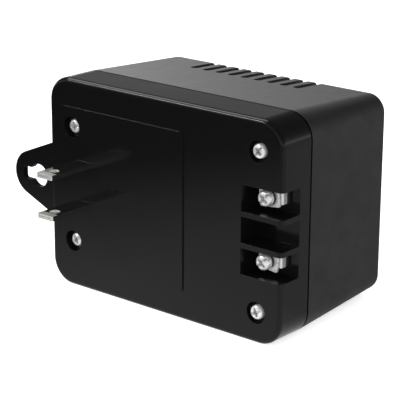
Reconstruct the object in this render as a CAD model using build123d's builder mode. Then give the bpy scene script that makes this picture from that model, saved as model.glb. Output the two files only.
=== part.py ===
from build123d import *
import os
from math import radians, tan

# Low voltage transformer that plugs into a mains outlet. All sizes are in millimetres.
# The frame: +Z is up, -Y points at the wall, +X runs from the mounting tab to the terminals.
# The origin lies midway between the two blades, on the face that touches the wall.

os.makedirs("parts", exist_ok=True)

# Case: a front shell and a drafted rear shell, parted parallel to the wall
case_width = 90.2
case_height = 66.6
front_depth = 13.2
rear_depth = 40.1
wall = 2.4
corner_radius = 7.8
front_edge_radius = 1.3
rear_edge_radius = 1.2
rear_draft = 3.3
parting_chamfer = 0.25
plug_from_side = 14.75
body_z = -1.1

# Tongue of the rear shell and the rebate that takes it
tongue_height = 2.0
tongue_thickness = 1.1
tongue_clearance = 0.15

# Raised pad that lies on the wall
pad_rise = 0.4
pad_width = 49.7
pad_height = 49.4
pad_corner = 1.8
pad_left_margin = 4.45
pad_z = -0.15

# Screws that close the case, with their counterbores, bosses and pillars
left_screw_inset = 9.6
left_screw_from_edge = 15.0
right_screw_inset = 8.7
right_screw_from_edge = 9.4
screw_head_diameter = 5.2
screw_head_height = 2.0
screw_head_sunk = 0.6
screw_head_chamfer = 0.6
screw_tip_chamfer = 1.0
screw_shank_diameter = 2.9
screw_length = 18.0
screw_clearance = 0.05
screw_pass_clearance = 0.2
screw_end_gap = 1.0
counterbore_diameter = 6.6
boss_wall = 1.4
pillar_diameter = 7.0
pillar_gap = 0.1
web_thickness = 1.5
recess_width = 0.75
recess_depth = 1.0
recess_reach = 1.6

# Mounting tab with a keyhole
tab_thickness = 1.8
tab_setback = 0.6
tab_root_half_height = 12.2
tab_root_width = 0.1
tab_reach = 16.5
tab_end_radius = 7.2
tab_z = -0.3
keyhole_z = -0.4
keyhole_diameter = 7.4
keyhole_from_side = 6.1
keyhole_slot_width = 4.1
keyhole_slot_reach = 6.7
keyhole_slot_corner = 0.8

# Blades: brass strip folded on itself along one long edge
blade_spacing = 12.7
blade_width = 6.35
blade_thickness = 1.5
blade_length = 17.2
blade_slit = 0.16
blade_fold = 0.9
blade_tip_chamfer = 0.3
blade_hole_diameter = 3.2
blade_hole_from_tip = 4.2
blade_clearance = 0.05
shoulder_width = 9.5
shoulder_depth = 2.0
tail_width = 4.0
tail_length = 6.2

# Plate that holds the blades, heat staked on two pegs
retainer_width = 20.4
retainer_gap = 1.2
retainer_thickness = 2.5
retainer_corner = 1.5
peg_diameter = 2.6
peg_spacing = 15.2
peg_pad_diameter = 5.0
peg_head_diameter = 4.4
peg_head_height = 1.2
peg_clearance = 0.1

# Terminal bays in the right front edge
bay_count = 3
bay_height = 7.95
bay_partition = 1.5
bay_width = 14.55
bay_depth = 8.3
bay_wall = 1.8
bay_z = -0.15

# What stands in the upper and the lower bay
terminal_inset = 8.2
terminal_z = 0.4
terminal_head_depth = 2.5
terminal_head_diameter = 4.8
terminal_head_height = 2.2
terminal_shank_diameter = 2.9
terminal_head_chamfer = 0.6
terminal_screw_length = 4.6
terminal_end_gap = 0.3
terminal_slot_turn = 40
washer_width = 7.0
washer_height = 5.1
washer_thickness = 0.9
washer_turn = 3.0
plate_thickness = 0.9
plate_height = 3.6
plate_left = 3.4
plate_right = 4.1
plate_tail_length = 10.4
plate_bend_radius = 0.55
plate_hole_diameter = 1.6
seat_margin = 0.9
seat_collar = 1.1
fit_clearance = 0.05

# Vent slots over the top rear edge
slot_count = 9
slot_pitch = 5.06
slot_width = 2.6
slot_x = -1.8
slot_run = 12.85
slot_drop = 9.0

# Transformer: laminated core on the usual scrapless proportions, with its bobbin
core_side_clearance = 3.7
core_rib_clearance = 0.3
coil_end_gap = 0.7
flange_clearance = 0.6
flange_thickness = 1.2
flange_end_clearance = 0.2
bobbin_wall = 1.0
bobbin_clearance = 0.3
primary_share = 0.58
winding_margin = 0.7
winding_clearance = 0.1
insulation_thickness = 0.4
tape_thickness = 0.3
tube_corner = 1.2
flange_corner = 2.5
core_post_size = 4.0
rib_thickness = 1.6
side_rib_height = 8.0
cradle_rib_inset = 2.5
cradle_setback = 10.0

# Bobbin pins, leads, thermal fuse and insulating card
pin_diameter = 1.0
pin_reach = 5.0
pin_x = 14.0
pin_from_flange_edge = 4.5
lead_diameter = 1.6
lead_end_gap = 0.25
lead_loop = 3.5
lead_side_gap = 1.3
lead_front_gap = 3.3
lead_tail_inset = 2.6
lead_step = 1.0
primary_lead_offset = 1.6
primary_lead_gap = 0.8
fuse_diameter = 3.8
fuse_length = 9.5
fuse_end_chamfer = 0.95
fuse_lead_diameter = 0.8
fuse_lead_overlap = 1.0
fuse_loop = 2.6
fuse_side_gap = 2.3
fuse_card_gap = 0.7
fuse_rise = 1.1
card_thickness = 0.4
card_gap = 0.1
card_height = 40.0

# Depths from the wall, worked out from the sizes above
face_y = pad_rise
parting_y = face_y + front_depth
rear_y = parting_y + rear_depth
front_inner_y = face_y + wall
rear_inner_y = rear_y - wall
rear_shrink = rear_depth * tan(radians(rear_draft))

# Places of the four case screws, seen from the front and measured from the body's centre
half_width = case_width / 2
half_height = case_height / 2
body_x = half_width - plug_from_side
left_screw_height = half_height - left_screw_from_edge
right_screw_height = half_height - right_screw_from_edge
left_screw_x = left_screw_inset - half_width
right_screw_x = half_width - right_screw_inset
screw_places = {
    "case_screw_upper_left": (left_screw_x, left_screw_height),
    "case_screw_lower_left": (left_screw_x, -left_screw_height),
    "case_screw_upper_right": (right_screw_x, right_screw_height),
    "case_screw_lower_right": (right_screw_x, -right_screw_height),
}
boss_diameter = counterbore_diameter + 2 * boss_wall
screw_seat_y = face_y + screw_head_sunk + screw_head_height
web_depth = front_depth - wall - tongue_height - tongue_clearance
retainer_height = 2 * (left_screw_height + body_z - boss_diameter / 2 - retainer_gap)

# Core sizes: the centre leg is a third of the width, the others a sixth, as stamped without scrap
core_width = 2 * (-left_screw_x - pillar_diameter / 2 - core_side_clearance)
leg = core_width / 6
core_height = 5 * leg
window_height = 3 * leg
flange_overhang = leg - flange_clearance
core_stack = rear_inner_y - front_inner_y - 2 * flange_overhang - 2 * coil_end_gap
core_y = (front_inner_y + rear_inner_y) / 2
core_front_y = core_y - core_stack / 2
core_rear_y = core_y + core_stack / 2
flange_width = core_width / 3 + 2 * flange_overhang
flange_depth = core_stack + 2 * flange_overhang
flange_outer_z = window_height / 2 - flange_end_clearance
flange_inner_z = flange_outer_z - flange_thickness

# Terminal places
bay_left_x = half_width - bay_width
bay_floor_y = face_y + bay_depth
bay_pitch = bay_height + bay_partition
bays_height = bay_count * bay_height + (bay_count - 1) * bay_partition
terminal_x = half_width - terminal_inset
terminal_places = {"upper": bay_z + terminal_z + bay_pitch, "lower": bay_z + terminal_z - bay_pitch}
terminal_head_y = face_y + terminal_head_depth
washer_y = terminal_head_y + terminal_head_height
plate_y = washer_y + washer_thickness
seat_y = plate_y + plate_thickness
collar_y = seat_y + seat_collar
terminal_hole_depth = terminal_screw_length - washer_thickness - plate_thickness + terminal_end_gap
plate_outer_x = terminal_x + plate_right
plate_inner_x = plate_outer_x - plate_thickness

# Depths of the blades' inner ends
shoulder_end_y = front_inner_y + shoulder_depth
retainer_end_y = shoulder_end_y + retainer_thickness
blade_end_y = shoulder_end_y + tail_length


def facing_wall(depth):
    """Plane parallel to the wall at a depth, centred on the body, with X and Z as its own axes."""
    return Plane(origin=(body_x, depth, body_z), x_dir=(1, 0, 0), z_dir=(0, -1, 0))


def at_plug(depth):
    """The same plane, centred between the blades."""
    return Plane(origin=(0, depth, 0), x_dir=(1, 0, 0), z_dir=(0, -1, 0))


def level(height):
    """Level plane at a height above the body's centre."""
    return Plane(origin=(body_x, 0, body_z + height), x_dir=(1, 0, 0), z_dir=(0, 0, 1))


def upright(offset):
    """Plane across X at an offset from the body's centre, with Y and Z as its own axes."""
    return Plane(origin=(body_x + offset, 0, body_z), x_dir=(0, 1, 0), z_dir=(1, 0, 0))


def from_body(x, y, z):
    """Point given from the body's centre."""
    return (body_x + x, y, body_z + z)


def save(piece, name):
    """Labels a finished piece and writes it as its own file."""
    piece.part.label = name
    export_step(piece.part, f"parts/{name}.step")


# Front shell: tray with the wall pad, blade slots, screw bosses, terminal bays and mounting tab
with BuildPart() as front_shell:
    with BuildSketch(facing_wall(face_y)):
        RectangleRounded(case_width, case_height, corner_radius)
    extrude(amount=-front_depth)
    fillet(front_shell.faces().sort_by(Axis.Y)[0].edges(), radius=front_edge_radius)
    chamfer(front_shell.faces().sort_by(Axis.Y)[-1].edges(), length=parting_chamfer)
    with BuildSketch(facing_wall(front_inner_y)):
        RectangleRounded(case_width - 2 * wall, case_height - 2 * wall, corner_radius - wall)
    extrude(amount=-front_depth, mode=Mode.SUBTRACT)
    rebate = tongue_thickness + tongue_clearance
    with BuildSketch(facing_wall(parting_y - tongue_height - tongue_clearance)):
        RectangleRounded(
            case_width - 2 * (wall - rebate),
            case_height - 2 * (wall - rebate),
            corner_radius - wall + rebate,
        )
    extrude(amount=-front_depth, mode=Mode.SUBTRACT)

    # Pad that lies on the wall
    with BuildSketch(facing_wall(face_y)):
        with Locations((pad_left_margin + pad_width / 2 - half_width, pad_z)):
            RectangleRounded(pad_width, pad_height, pad_corner)
    extrude(amount=pad_rise)

    # Bosses with webs to the nearest side wall
    with BuildSketch(facing_wall(front_inner_y)):
        with Locations(*screw_places.values()):
            Circle(boss_diameter / 2)
    extrude(amount=-(parting_y - pillar_gap - front_inner_y))
    for x, z in screw_places.values():
        side = 1 if x > 0 else -1
        with BuildSketch(facing_wall(front_inner_y)):
            with Locations(((x + side * (half_width - wall / 2)) / 2, z)):
                Rectangle(abs(half_width - wall / 2 - abs(x)), web_thickness)
        extrude(amount=-web_depth)

    # Block that the three terminal bays are cut from
    block_left_x = bay_left_x - bay_wall
    with BuildSketch(facing_wall(face_y + wall / 2)):
        with Locations(((block_left_x + half_width - wall / 2) / 2, bay_z)):
            Rectangle(half_width - wall / 2 - block_left_x, bays_height + 2 * bay_wall)
    extrude(amount=-(bay_floor_y + bay_wall - face_y - wall / 2))
    with BuildSketch(facing_wall(-pad_rise)):
        with Locations((bay_left_x + bay_width, bay_z)):
            with GridLocations(1, bay_pitch, 1, bay_count):
                Rectangle(2 * bay_width, bay_height)
    extrude(amount=-(bay_floor_y + pad_rise), mode=Mode.SUBTRACT)

    # Moulded seats under the terminal plates, with a collar round each plate's tail
    seat_left_x = terminal_x - plate_left - fit_clearance
    collar_right_x = plate_outer_x + seat_margin
    for z in terminal_places.values():
        with BuildSketch(facing_wall(collar_y)):
            with Locations(((seat_left_x + collar_right_x) / 2, z)):
                Rectangle(collar_right_x - seat_left_x, plate_height + 2 * seat_margin)
        extrude(amount=-(bay_floor_y + bay_wall - collar_y))
        with BuildSketch(facing_wall(seat_y)):
            with Locations(((seat_left_x + plate_inner_x - fit_clearance) / 2, z)):
                Rectangle(plate_inner_x - fit_clearance - seat_left_x, plate_height + 2 * seat_margin)
        extrude(amount=-(bay_floor_y + bay_wall - seat_y))
        with BuildSketch(facing_wall(seat_y)):
            with Locations((plate_outer_x - plate_thickness / 2, z)):
                Rectangle(plate_thickness + 2 * fit_clearance, plate_height + 2 * fit_clearance)
        extrude(amount=-(bay_floor_y + 2 * bay_wall - seat_y), mode=Mode.SUBTRACT)
        with BuildSketch(facing_wall(seat_y)):
            with Locations((terminal_x, z)):
                Circle(terminal_shank_diameter / 2 + screw_clearance)
        extrude(amount=-terminal_hole_depth, mode=Mode.SUBTRACT)

    # Posts that press on the core's front, over the yokes and one outer leg
    post_z = core_height / 2 - leg / 2
    with BuildSketch(facing_wall(front_inner_y)):
        with GridLocations(1, 2 * post_z, 1, 2):
            Rectangle(core_post_size, core_post_size)
        with Locations((core_width / 2 - leg / 2, 0)):
            with GridLocations(1, 2 * (post_z - core_post_size / 2), 1, 2):
                Rectangle(core_post_size, core_post_size)
    extrude(amount=-(core_front_y - core_rib_clearance - front_inner_y))

    # Pads, pegs and staked heads that hold the blade retainer
    for diameter, start, end in (
        (peg_pad_diameter, front_inner_y, shoulder_end_y),
        (peg_diameter, front_inner_y, retainer_end_y + peg_head_height),
        (peg_head_diameter, retainer_end_y, retainer_end_y + peg_head_height),
    ):
        with BuildSketch(at_plug(start)):
            with GridLocations(peg_spacing, 1, 2, 1):
                Circle(diameter / 2)
        extrude(amount=-(end - start))

    # Slots for the blades
    with BuildSketch(at_plug(-pad_rise)):
        with GridLocations(1, blade_spacing, 1, 2):
            Rectangle(blade_width + 2 * blade_clearance, blade_thickness + 2 * blade_clearance)
    extrude(amount=-(front_inner_y + pad_rise), mode=Mode.SUBTRACT)

    # Counterbored holes for the case screws
    with BuildSketch(facing_wall(-pad_rise)):
        with Locations(*screw_places.values()):
            Circle(counterbore_diameter / 2)
    extrude(amount=-(screw_seat_y + pad_rise), mode=Mode.SUBTRACT)
    with BuildSketch(facing_wall(-pad_rise)):
        with Locations(*screw_places.values()):
            Circle(screw_shank_diameter / 2 + screw_pass_clearance)
    extrude(amount=-(parting_y + pad_rise), mode=Mode.SUBTRACT)

    # Mounting tab: a rounded end drawn into a broad root, with the keyhole's slot pointing outwards
    tab_end_x = -half_width - tab_reach + tab_end_radius
    keyhole_x = -half_width - keyhole_from_side
    slot_end_x = keyhole_x - keyhole_slot_reach
    with BuildSketch(facing_wall(face_y + tab_setback)):
        with Locations((tab_end_x, tab_z)):
            Circle(tab_end_radius)
        with Locations((-half_width + wall / 2, tab_z)):
            Rectangle(tab_root_width, 2 * tab_root_half_height)
        make_hull()
        with Locations((keyhole_x, keyhole_z)):
            Circle(keyhole_diameter / 2, mode=Mode.SUBTRACT)
        with Locations(((keyhole_x + slot_end_x) / 2, keyhole_z)):
            RectangleRounded(
                keyhole_slot_reach,
                keyhole_slot_width,
                keyhole_slot_corner,
                mode=Mode.SUBTRACT,
            )
    extrude(amount=-tab_thickness)
save(front_shell, "front_shell")

# Rear shell: drafted cup with its tongue, screw pillars, core cradle and vent slots
with BuildPart() as rear_shell:
    with BuildSketch(facing_wall(parting_y)):
        RectangleRounded(case_width, case_height, corner_radius)
    extrude(amount=-rear_depth, taper=rear_draft)
    fillet(rear_shell.faces().sort_by(Axis.Y)[-1].edges(), radius=rear_edge_radius)
    chamfer(rear_shell.faces().sort_by(Axis.Y)[0].edges(), length=parting_chamfer)
    with BuildSketch(facing_wall(parting_y)):
        RectangleRounded(case_width - 2 * wall, case_height - 2 * wall, corner_radius - wall)
    extrude(amount=-(rear_depth - wall), taper=rear_draft, mode=Mode.SUBTRACT)
    tongue_offset = wall - tongue_thickness
    with BuildSketch(facing_wall(parting_y)):
        RectangleRounded(
            case_width - 2 * tongue_offset,
            case_height - 2 * tongue_offset,
            corner_radius - tongue_offset,
        )
        RectangleRounded(
            case_width - 2 * wall,
            case_height - 2 * wall,
            corner_radius - wall,
            mode=Mode.SUBTRACT,
        )
    extrude(amount=tongue_height)

    # Pillars for the screws
    with BuildSketch(facing_wall(parting_y)):
        with Locations(*screw_places.values()):
            Circle(pillar_diameter / 2)
    extrude(amount=-(rear_depth - wall / 2))
    with BuildSketch(facing_wall(parting_y)):
        with Locations(*screw_places.values()):
            Circle(screw_shank_diameter / 2 + screw_clearance)
    extrude(amount=-(screw_seat_y + screw_length + screw_end_gap - parting_y), mode=Mode.SUBTRACT)

    # Posts behind the core's corners
    with BuildSketch(facing_wall(core_rear_y + core_rib_clearance)):
        with GridLocations(core_width - leg, core_height - leg, 2, 2):
            Rectangle(core_post_size, core_post_size)
    extrude(amount=-(rear_y - wall / 2 - core_rear_y - core_rib_clearance))

    # Ribs that cradle the core at its sides, top and bottom, each drawn to follow the drafted wall
    cradle_y = parting_y + cradle_setback
    cradle_end_y = rear_y - wall / 2
    cradle_shrink = cradle_setback * tan(radians(rear_draft))
    side_start = core_width / 2 + core_rib_clearance
    side_front = half_width - wall / 2 - cradle_shrink
    side_rear = half_width - wall / 2 - rear_shrink
    for side in (-1, 1):
        for z in (-side_rib_height, side_rib_height):
            with BuildSketch(level(z - rib_thickness / 2)):
                Polygon(
                    (side * side_start, cradle_y),
                    (side * side_front, cradle_y),
                    (side * side_rear, cradle_end_y),
                    (side * side_start, cradle_end_y),
                    align=None,
                )
            extrude(amount=rib_thickness)
    top_start = core_height / 2 + core_rib_clearance
    top_front = half_height - wall / 2 - cradle_shrink
    top_rear = half_height - wall / 2 - rear_shrink
    for side in (-1, 1):
        for x in (-1, 1):
            with BuildSketch(upright(x * (core_width / 2 - cradle_rib_inset) - rib_thickness / 2)):
                Polygon(
                    (cradle_y, side * top_start),
                    (cradle_y, side * top_front),
                    (cradle_end_y, side * top_rear),
                    (cradle_end_y, side * top_start),
                    align=None,
                )
            extrude(amount=rib_thickness)

    # Vent slots, open along the top and over the edge into the rear face
    top_inner_rear = half_height - wall - rear_shrink
    with BuildSketch(level(half_height)):
        with Locations((slot_x, rear_y)):
            with GridLocations(slot_pitch, 1, slot_count, 1):
                SlotOverall(2 * slot_run, slot_width, rotation=90)
    extrude(amount=-(half_height - top_inner_rear + rear_edge_radius), mode=Mode.SUBTRACT)
    rear_top = half_height - rear_shrink
    with BuildSketch(facing_wall(rear_inner_y - rear_edge_radius)):
        with Locations((slot_x, rear_top)):
            with GridLocations(slot_pitch, 1, slot_count, 1):
                SlotOverall(2 * slot_drop, slot_width, rotation=90)
    extrude(amount=-(wall + 2 * rear_edge_radius), mode=Mode.SUBTRACT)
save(rear_shell, "rear_shell")

# Case screws: pan heads with a slot and a cross
for name, (x, z) in screw_places.items():
    with BuildPart() as case_screw:
        with BuildSketch(facing_wall(screw_seat_y)):
            with Locations((x, z)):
                Circle(screw_head_diameter / 2)
        extrude(amount=screw_head_height)
        chamfer(case_screw.edges().sort_by(Axis.Y)[0], length=screw_head_chamfer)
        with BuildSketch(facing_wall(screw_seat_y)):
            with Locations((x, z)):
                Circle(screw_shank_diameter / 2)
        extrude(amount=-screw_length)
        chamfer(case_screw.edges().sort_by(Axis.Y)[-1], length=screw_tip_chamfer)
        with BuildSketch(facing_wall(screw_seat_y - screw_head_height)):
            with Locations((x, z)):
                Rectangle(2 * recess_reach, recess_width)
                Rectangle(recess_width, 2 * recess_reach)
        extrude(amount=-recess_depth, mode=Mode.SUBTRACT)
    save(case_screw, name)

# Blades: each a strip folded along its length, with shoulders behind the wall and a solder tail
for name, z in (("blade_upper", blade_spacing / 2), ("blade_lower", -blade_spacing / 2)):
    with BuildPart() as blade:
        with BuildSketch(at_plug(-blade_length)):
            with Locations((0, z)):
                Rectangle(blade_width, blade_thickness)
        extrude(amount=-(blade_length + shoulder_end_y))
        tip_corners = blade.edges().filter_by(Axis.Z).group_by(Axis.Y)[0]
        chamfer(tip_corners, length=blade_tip_chamfer)
        with BuildSketch(at_plug(front_inner_y)):
            with Locations((0, z)):
                Rectangle(shoulder_width, blade_thickness)
        extrude(amount=-shoulder_depth)
        with BuildSketch(at_plug(shoulder_end_y)):
            with Locations((0, z)):
                Rectangle(tail_width, blade_thickness)
        extrude(amount=-tail_length)
        with BuildSketch(at_plug(-blade_length)):
            with Locations((-blade_fold, z)):
                Rectangle(blade_width, blade_slit)
        extrude(amount=-(blade_length - pad_rise), mode=Mode.SUBTRACT)
        with BuildSketch(Plane.XY.offset(z - blade_thickness)):
            with Locations((0, blade_hole_from_tip - blade_length)):
                Circle(blade_hole_diameter / 2)
            with Locations((0, blade_end_y - tail_width / 2)):
                Circle(tail_width / 4)
        extrude(amount=2 * blade_thickness, mode=Mode.SUBTRACT)
    save(blade, name)

# Retainer plate that presses the blades' shoulders against the front wall
with BuildPart() as blade_retainer:
    with BuildSketch(at_plug(shoulder_end_y)):
        RectangleRounded(retainer_width, retainer_height, retainer_corner)
        with GridLocations(1, blade_spacing, 1, 2):
            Rectangle(
                tail_width + 2 * blade_clearance,
                blade_thickness + 2 * blade_clearance,
                mode=Mode.SUBTRACT,
            )
        with GridLocations(peg_spacing, 1, 2, 1):
            Circle(peg_diameter / 2 + peg_clearance, mode=Mode.SUBTRACT)
    extrude(amount=-retainer_thickness)
save(blade_retainer, "blade_retainer")

# Output terminals: plate with a solder tail, clamp washer and screw, in two of the three bays
for place, z in terminal_places.items():
    with BuildPart() as terminal_plate:
        with BuildSketch(facing_wall(plate_y)):
            with Locations((terminal_x + (plate_right - plate_left) / 2, z)):
                Rectangle(plate_left + plate_right, plate_height)
        extrude(amount=-plate_thickness)
        with BuildSketch(facing_wall(plate_y)):
            with Locations((plate_outer_x - plate_thickness / 2, z)):
                Rectangle(plate_thickness, plate_height)
        extrude(amount=-plate_tail_length)
        bend = terminal_plate.edges().filter_by(Axis.Z).group_by(Axis.Y)[0].sort_by(Axis.X)[-1]
        fillet(bend, radius=plate_bend_radius)
        with BuildSketch(facing_wall(plate_y)):
            with Locations((terminal_x, z)):
                Circle(terminal_shank_diameter / 2 + screw_clearance)
        extrude(amount=-plate_thickness, mode=Mode.SUBTRACT)
        with BuildSketch(upright(plate_inner_x)):
            with Locations((plate_y + plate_tail_length - plate_height / 2, z)):
                Circle(plate_hole_diameter / 2)
        extrude(amount=plate_thickness, mode=Mode.SUBTRACT)
    save(terminal_plate, f"terminal_plate_{place}")

    with BuildPart() as clamp_washer:
        with BuildSketch(facing_wall(washer_y)):
            with Locations((terminal_x, z)):
                Rectangle(washer_width, washer_height, rotation=washer_turn)
                Circle(terminal_shank_diameter / 2 + screw_clearance, mode=Mode.SUBTRACT)
        extrude(amount=-washer_thickness)
    save(clamp_washer, f"clamp_washer_{place}")

    with BuildPart() as terminal_screw:
        with BuildSketch(facing_wall(washer_y)):
            with Locations((terminal_x, z)):
                Circle(terminal_head_diameter / 2)
        extrude(amount=terminal_head_height)
        chamfer(terminal_screw.edges().sort_by(Axis.Y)[0], length=terminal_head_chamfer)
        with BuildSketch(facing_wall(washer_y)):
            with Locations((terminal_x, z)):
                Circle(terminal_shank_diameter / 2)
        extrude(amount=-terminal_screw_length)
        with BuildSketch(facing_wall(terminal_head_y)):
            with Locations((terminal_x, z)):
                Rectangle(2 * recess_reach, recess_width, rotation=terminal_slot_turn)
                Rectangle(recess_width, 2 * recess_reach, rotation=terminal_slot_turn)
        extrude(amount=-recess_depth, mode=Mode.SUBTRACT)
    save(terminal_screw, f"terminal_screw_{place}")

# Core: a stack of E laminations with the yoke on top, closed by a stack of I laminations below
with BuildPart() as core_e_stack:
    with BuildSketch(facing_wall(core_front_y)):
        with Locations((0, leg / 2)):
            Rectangle(core_width, core_height - leg)
        for side in (-1, 1):
            with Locations((side * leg * 1.5, 0)):
                Rectangle(leg, window_height, mode=Mode.SUBTRACT)
    extrude(amount=-core_stack)
save(core_e_stack, "core_e_stack")

with BuildPart() as core_i_stack:
    with BuildSketch(facing_wall(core_front_y)):
        with Locations((0, leg / 2 - core_height / 2)):
            Rectangle(core_width, leg)
    extrude(amount=-core_stack)
save(core_i_stack, "core_i_stack")

# Bobbin: a tube round the centre leg with a flange at each end and holes for its pins
tube_width = core_width / 3 + 2 * bobbin_clearance
tube_depth = core_stack + 2 * bobbin_clearance
pin_y = core_y - flange_depth / 2 + pin_from_flange_edge
with BuildPart() as bobbin:
    with BuildSketch(level(-flange_outer_z)):
        with Locations((0, core_y)):
            RectangleRounded(tube_width + 2 * bobbin_wall, tube_depth + 2 * bobbin_wall, tube_corner)
    extrude(amount=2 * flange_outer_z)
    for height in (-flange_outer_z, flange_inner_z):
        with BuildSketch(level(height)):
            with Locations((0, core_y)):
                RectangleRounded(flange_width, flange_depth, flange_corner)
            with Locations((0, pin_y)):
                with GridLocations(2 * pin_x, 1, 2, 1):
                    Circle(pin_diameter / 2 + fit_clearance, mode=Mode.SUBTRACT)
        extrude(amount=flange_thickness)
    with BuildSketch(level(-flange_outer_z)):
        with Locations((0, core_y)):
            Rectangle(tube_width, tube_depth)
    extrude(amount=2 * flange_outer_z, mode=Mode.SUBTRACT)
save(bobbin, "bobbin")

# Windings and their wraps: rings round the bobbin, one outside the other
winding_half_height = flange_inner_z - winding_clearance
inner_width = tube_width + 2 * bobbin_wall + 2 * winding_clearance
inner_depth = tube_depth + 2 * bobbin_wall + 2 * winding_clearance
inner_corner = tube_corner + winding_clearance
wraps = insulation_thickness + tape_thickness
winding_room = leg - bobbin_clearance - bobbin_wall - winding_clearance - wraps - winding_margin
ring_builds = {
    "primary_winding": primary_share * winding_room,
    "winding_insulation": insulation_thickness,
    "secondary_winding": (1 - primary_share) * winding_room,
    "outer_tape": tape_thickness,
}
grown = 0
for name, build in ring_builds.items():
    with BuildPart() as ring:
        with BuildSketch(level(-winding_half_height)):
            with Locations((0, core_y)):
                RectangleRounded(
                    inner_width + 2 * (grown + build),
                    inner_depth + 2 * (grown + build),
                    inner_corner + grown + build,
                )
                RectangleRounded(
                    inner_width + 2 * grown,
                    inner_depth + 2 * grown,
                    inner_corner + grown,
                    mode=Mode.SUBTRACT,
                )
        extrude(amount=2 * winding_half_height)
    save(ring, name)
    grown = grown + build

# Pins of the bobbin, two in each flange
pin_top = flange_outer_z + pin_reach
with BuildPart() as bobbin_pins:
    for height in (-pin_top, flange_inner_z):
        with BuildSketch(level(height)):
            with Locations((0, pin_y)):
                with GridLocations(2 * pin_x, 1, 2, 1):
                    Circle(pin_diameter / 2)
        extrude(amount=pin_top - flange_inner_z)
save(bobbin_pins, "bobbin_pins")

# Card that keeps the mains side off the core
card_width = core_width / 2 - flange_width / 2 - 2 * fit_clearance
with BuildPart() as insulation_card:
    with BuildSketch(facing_wall(core_front_y - card_gap - card_thickness)):
        with Locations((card_width / 2 - core_width / 2, 0)):
            Rectangle(card_width, card_height)
    extrude(amount=-card_thickness)
save(insulation_card, "insulation_card")

# Thermal fuse in front of the card: its leads run to the upper blade's tail and to a bobbin pin
fuse_x = -(flange_width / 2 + fuse_diameter / 2 + fuse_side_gap)
fuse_y = core_front_y - card_gap - card_thickness - fuse_diameter / 2 - fuse_card_gap
fuse_base_z = retainer_height / 2 - body_z + fuse_rise
fuse_top_z = fuse_base_z + fuse_length
tail_top_z = blade_spacing / 2 + blade_thickness / 2 - body_z
lead_rest_z = tail_top_z + fuse_lead_diameter / 2 + fit_clearance
with BuildPart() as thermal_fuse:
    with BuildSketch(level(fuse_base_z)):
        with Locations((fuse_x, fuse_y)):
            Circle(fuse_diameter / 2)
    extrude(amount=fuse_length)
    chamfer(thermal_fuse.edges().group_by(Axis.Z)[-1], length=fuse_end_chamfer)
    with BuildLine():
        Polyline(
            from_body(fuse_x, fuse_y, fuse_base_z + fuse_lead_overlap),
            from_body(fuse_x, fuse_y, lead_rest_z),
            from_body(-body_x, fuse_y, lead_rest_z),
        )
    with BuildSketch(level(fuse_base_z + fuse_lead_overlap)):
        with Locations((fuse_x, fuse_y)):
            Circle(fuse_lead_diameter / 2)
    sweep(transition=Transition.RIGHT)
    with BuildLine():
        Polyline(
            from_body(fuse_x, fuse_y, fuse_top_z - fuse_lead_overlap),
            from_body(fuse_x, fuse_y, fuse_top_z + fuse_loop),
            from_body(-pin_x, pin_y, fuse_top_z + fuse_loop),
            from_body(-pin_x, pin_y, pin_top + fit_clearance),
        )
    with BuildSketch(level(fuse_top_z - fuse_lead_overlap)):
        with Locations((fuse_x, fuse_y)):
            Circle(fuse_lead_diameter / 2)
    sweep(transition=Transition.RIGHT)
save(thermal_fuse, "thermal_fuse")

# Primary lead from the lower blade's tail to the lower left pin
low_tail_top_z = blade_thickness / 2 - blade_spacing / 2 - body_z
primary_lead_y = core_front_y - card_gap - card_thickness - primary_lead_gap - lead_diameter / 2
primary_start = from_body(-body_x, primary_lead_y, low_tail_top_z + lead_diameter / 2 + fit_clearance)
primary_lead_x = fuse_x - primary_lead_offset
lead_drop_z = pin_top + lead_loop
with BuildPart() as primary_lead:
    with BuildLine():
        Polyline(
            primary_start,
            (body_x + primary_lead_x, primary_lead_y, primary_start[2]),
            from_body(primary_lead_x, primary_lead_y, -lead_drop_z),
            from_body(-pin_x, pin_y, -lead_drop_z),
            from_body(-pin_x, pin_y, -(pin_top + fit_clearance)),
        )
    with BuildSketch(Plane(origin=primary_start, z_dir=(1, 0, 0))):
        Circle(lead_diameter / 2)
    sweep(transition=Transition.RIGHT)
save(primary_lead, "primary_lead")

# Secondary leads from the right pins round the core to the tails of the terminal plates
lead_side_x = core_width / 2 + lead_diameter / 2 + lead_side_gap
lead_pass_y = bay_floor_y + bay_wall + lead_diameter / 2 + lead_front_gap
lead_end_y = plate_y + plate_tail_length - lead_tail_inset
for place, z in terminal_places.items():
    side = 1 if z > 0 else -1
    with BuildPart() as secondary_lead:
        with BuildLine():
            Polyline(
                from_body(pin_x, pin_y, side * (pin_top + fit_clearance)),
                from_body(pin_x, pin_y, side * lead_drop_z),
                from_body(lead_side_x, pin_y + lead_step, side * lead_drop_z),
                from_body(lead_side_x, lead_pass_y, side * lead_drop_z),
                from_body(lead_side_x, lead_pass_y, z),
                from_body(plate_inner_x - lead_end_gap, lead_end_y, z),
            )
        with BuildSketch(level(side * (pin_top + fit_clearance))):
            with Locations((pin_x, pin_y)):
                Circle(lead_diameter / 2)
        sweep(transition=Transition.RIGHT)
    save(secondary_lead, f"secondary_lead_{place}")
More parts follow.
